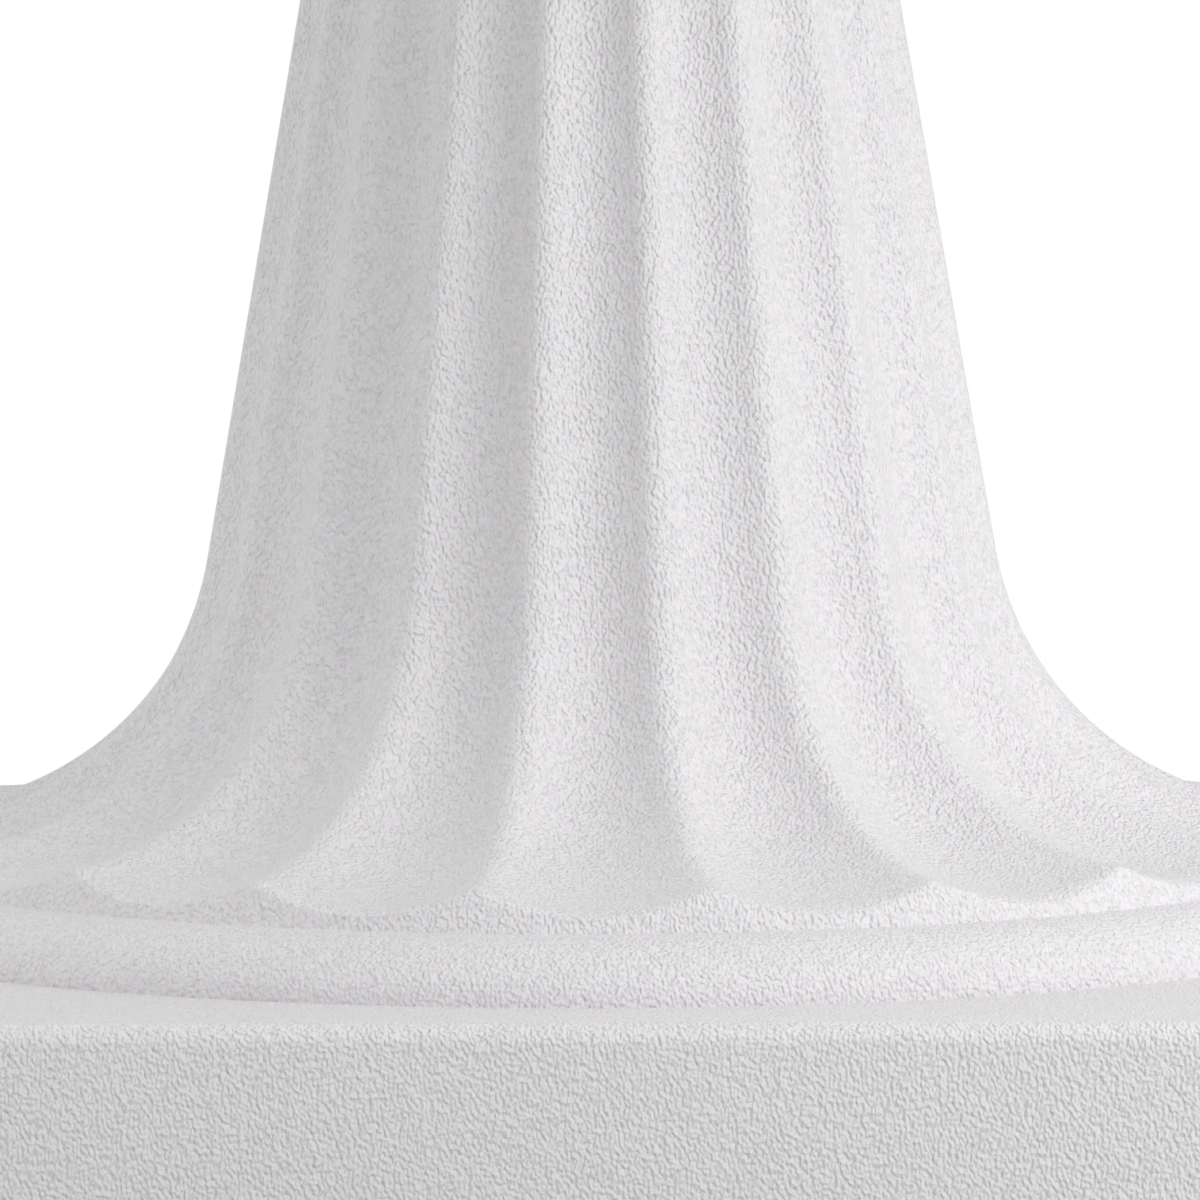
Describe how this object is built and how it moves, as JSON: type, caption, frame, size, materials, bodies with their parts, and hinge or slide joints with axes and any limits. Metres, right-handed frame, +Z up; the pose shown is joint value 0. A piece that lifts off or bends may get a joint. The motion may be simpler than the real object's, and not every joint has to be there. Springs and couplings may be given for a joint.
{
  "type": "pedestal urn planter",
  "caption": "Classical urn planter of white textured plastic: square plinth, quarter-round ring, fluted flared stem, neck bead and bell-shaped bowl with a lifting soil shelf and drain stopper.",
  "frame": {"origin": "on the ground, under the middle of the plinth", "axes": "+Z up the axis of the stem and bowl, -Y towards the front, a flat side of the plinth"},
  "size_m": [0.45, 0.45, 0.5593],
  "materials": {
    "polymer": "white, fine pebbled grain as moulded",
    "rubber": "matt black",
    "steel": "zinc plated"
  },
  "bodies": {
    "urn": {"plinth": "polymer", "base_ring": "polymer", "fluted_stem": "polymer", "neck_ring": "polymer", "bowl": "polymer", "rubber_foot_front_left": "rubber", "rubber_foot_front_right": "rubber", "rubber_foot_back_left": "rubber", "rubber_foot_back_right": "rubber", "seal_washer": "rubber", "foot_screw_front_left": "steel", "foot_screw_front_right": "steel", "foot_screw_back_left": "steel", "foot_screw_back_right": "steel", "anchor_bar": "steel", "base_washer": "steel", "base_nut": "steel", "tie_rod": "steel"},
    "shelf": {"soil_shelf": "polymer"},
    "stopper": {"drain_plug": "rubber"},
    "captive_washer": {"clamp_washer": "steel"},
    "thumb_nut": {"wing_nut": "steel"}
  },
  "joints": [
    {"name": "shelf_lift", "type": "slide", "parent": "urn", "child": "shelf", "axis": [0, 0, 1], "range_m": [0, 0.3]},
    {"name": "stopper_pull", "type": "slide", "parent": "urn", "child": "stopper", "axis": [0, 0, 1], "range_m": [0, 0.012]},
    {"name": "washer_travel", "type": "slide", "parent": "urn", "child": "captive_washer", "axis": [0, 0, 1], "range_m": [0, 0.005]},
    {"name": "nut_turn", "type": "hinge", "parent": "captive_washer", "child": "thumb_nut", "pos_m": [0, 0, 0.268], "axis": [0, 0, 1], "range_deg": [0, 1440]}
  ],
  "couplings": [
    {"joint": "washer_travel", "follows": "nut_turn", "m_per_rad": 0.00019894}
  ]
}
